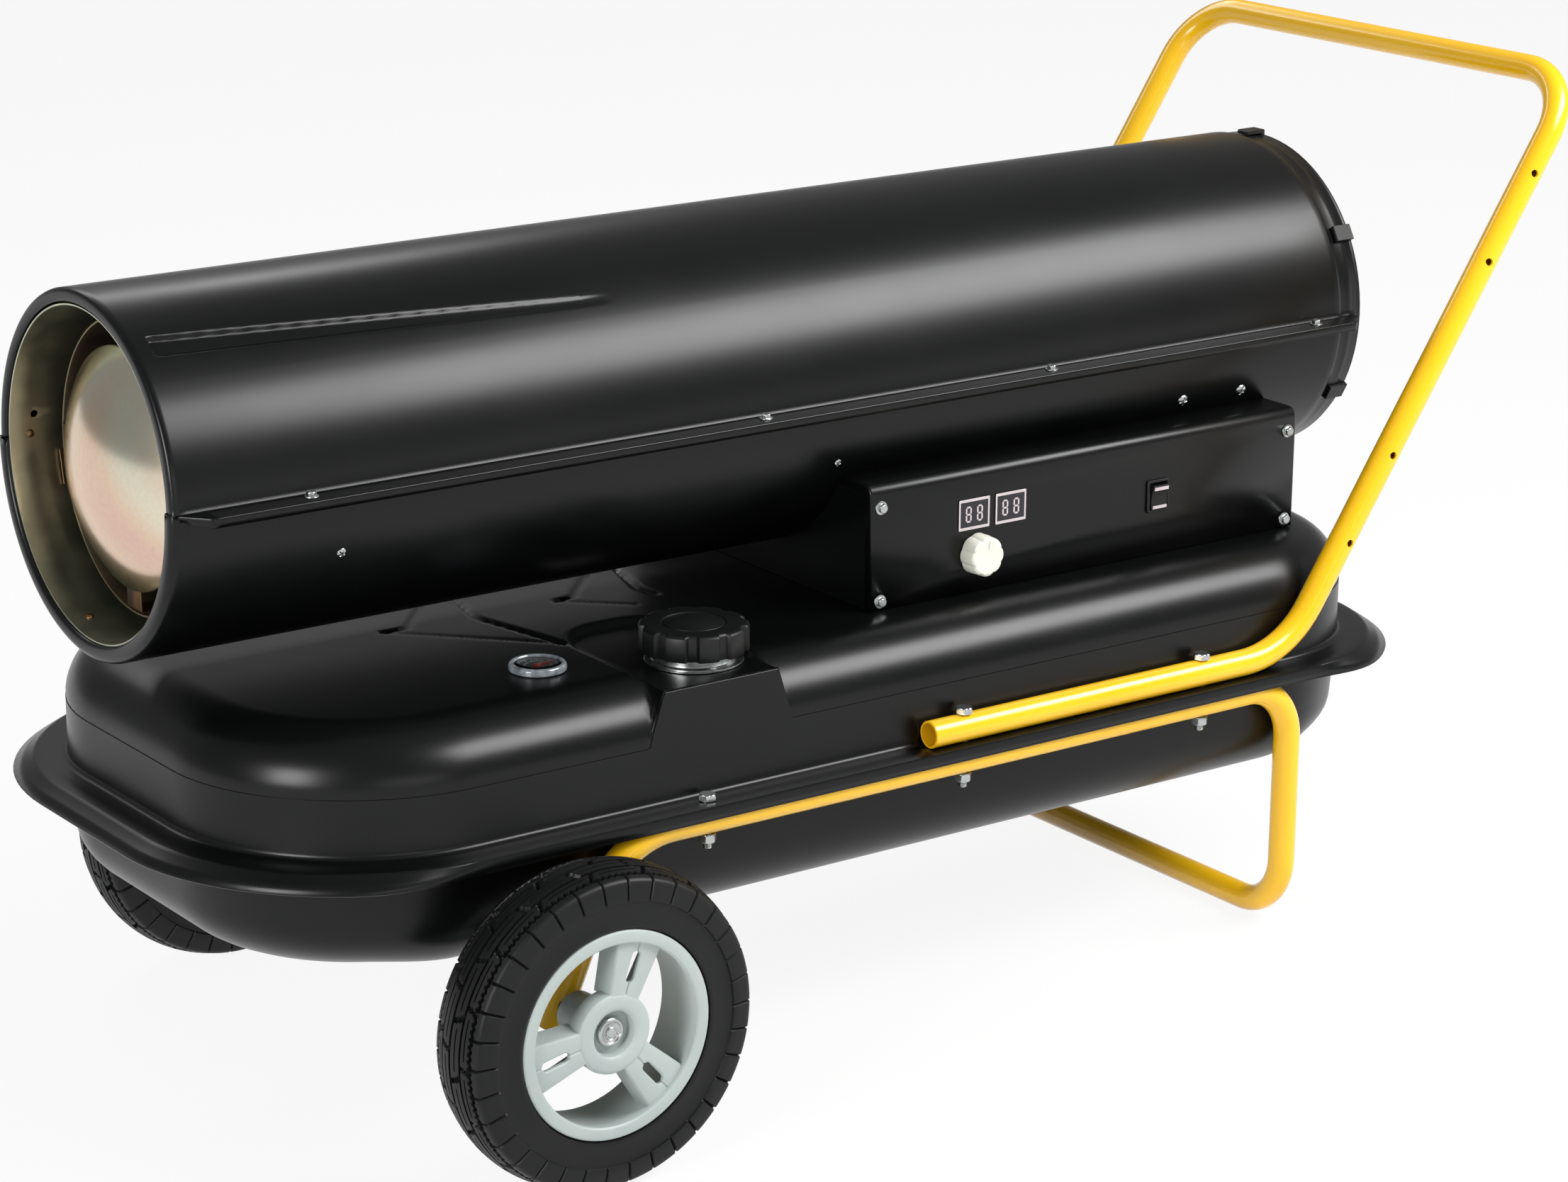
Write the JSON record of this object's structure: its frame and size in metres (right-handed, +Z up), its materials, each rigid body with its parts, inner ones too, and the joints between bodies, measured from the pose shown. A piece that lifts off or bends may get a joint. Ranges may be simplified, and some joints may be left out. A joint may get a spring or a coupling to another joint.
{
  "type": "forced air heater",
  "caption": "Portable fuel-burning forced air heater: a round barrel with burner and fan above a flat pressed fuel tank, on a tube frame with wheels, rear leg and push handle.",
  "frame": {"origin": "on the floor, under the middle of the bounding box", "axes": "+Z up; +X from the hot air outlet towards the handle; -Y is the side with the control panel and filler cap"},
  "size_m": [1.067, 0.513, 0.5609],
  "materials": {
    "black_paint": "gloss",
    "yellow_paint": "gloss",
    "black_plastic": "fine grain",
    "rubber": "matte",
    "rim_paint": "satin",
    "zinc": "zinc plated",
    "galvanised": "galvanised",
    "stainless": "bright, heat tinted",
    "heat_steel": "heat tinted",
    "aluminium": "cast",
    "ivory": "satin",
    "lens": "clear",
    "board": "satin",
    "brass": "satin",
    "display": "gloss",
    "red": "satin",
    "seal": "matte"
  },
  "bodies": {
    "heater": {"air_line": "black_plastic", "air_pump": "aluminium", "axle": "zinc", "axle_cap_far": "zinc", "axle_cap_near": "zinc", "burner_head": "heat_steel", "chamber_bracket_1": "heat_steel", "chamber_bracket_2": "heat_steel", "combustion_chamber": "stainless", "control_board": "board", "control_case": "black_paint", "cord_gland": "black_plastic", "dome_strap_1": "heat_steel", "dome_strap_2": "heat_steel", "dome_strap_3": "heat_steel", "dome_strap_4": "heat_steel", "filler_neck": "zinc", "flame_dome": "heat_steel", "frame_bolt_1": "zinc", "frame_bolt_2": "zinc", "frame_bolt_3": "zinc", "frame_bolt_4": "zinc", "frame_bolt_5": "zinc", "frame_bolt_6": "zinc", "fuel_filter": "ivory", "fuel_line": "zinc", "fuel_pickup": "zinc", "gauge_body": "black_plastic", "gauge_lens": "lens", "handle_tube": "yellow_paint", "ignition_electrodes": "ivory", "ignition_transformer": "red", "lower_shell": "black_paint", "lower_tube": "yellow_paint", "motor": "aluminium", "motor_bracket": "galvanised", "nozzle": "brass", "outlet_liner": "galvanised", "panel_cover": "black_paint", "plain_cover": "black_paint", "rear_guard": "black_plastic", "rocker_bezel": "black_plastic", "room_display": "display", "set_display": "display", "tank_lower": "black_paint", "tank_upper": "black_paint", "thermostat_pot": "aluminium", "upper_shell": "black_paint"},
    "fan": {"fan": "aluminium", "motor_shaft": "zinc"},
    "knob": {"thermostat_knob": "ivory"},
    "rocker": {"rocker": "black_plastic"},
    "seal": {"cap_seal": "seal"},
    "cap": {"fuel_cap": "black_plastic"},
    "float": {"gauge_arm": "zinc"},
    "needle": {"gauge_needle": "red"},
    "wheel_near": {"tyre_near": "rubber", "rim_near": "rim_paint"},
    "wheel_far": {"tyre_far": "rubber", "rim_far": "rim_paint"}
  },
  "joints": [
    {"name": "wheel_near_roll", "type": "hinge", "parent": "heater", "child": "wheel_near", "pos_m": [-0.31966, -0.2315, 0.1016], "axis": [0, 1, 0], "continuous": true},
    {"name": "wheel_far_roll", "type": "hinge", "parent": "heater", "child": "wheel_far", "pos_m": [-0.31966, 0.2315, 0.1016], "axis": [0, 1, 0], "continuous": true},
    {"name": "fan_spin", "type": "hinge", "parent": "heater", "child": "fan", "pos_m": [0.21468, 0, 0.39733], "axis": [0.9992, 0, -0.0403], "continuous": true},
    {"name": "thermostat_turn", "type": "hinge", "parent": "heater", "child": "knob", "pos_m": [0.04846, -0.134, 0.29594], "axis": [0, 1, 0], "range_deg": [0, 270]},
    {"name": "rocker_tilt", "type": "hinge", "parent": "heater", "child": "rocker", "pos_m": [0.20194, -0.1314, 0.30477], "axis": [-0.9992, 0, 0.0403], "range_deg": [0, 14]},
    {"name": "cap_lift", "type": "slide", "parent": "heater", "child": "seal", "axis": [0.0403, 0, 0.9992], "range_m": [0, 0.055]},
    {"name": "cap_turn", "type": "hinge", "parent": "seal", "child": "cap", "pos_m": [-0.17796, -0.14, 0.29005], "axis": [0.0403, 0, 0.9992], "range_deg": [0, 90]},
    {"name": "float_swing", "type": "hinge", "parent": "heater", "child": "float", "pos_m": [-0.27351, -0.113, 0.20883], "axis": [0.9992, 0, -0.0403], "range_deg": [0, 85]},
    {"name": "needle_turn", "type": "hinge", "parent": "heater", "child": "needle", "pos_m": [-0.27526, -0.113, 0.28456], "axis": [0.0403, 0, 0.9992], "range_deg": [0, 85]}
  ],
  "couplings": [
    {"joint": "needle_turn", "follows": "float_swing", "ratio": 1}
  ]
}
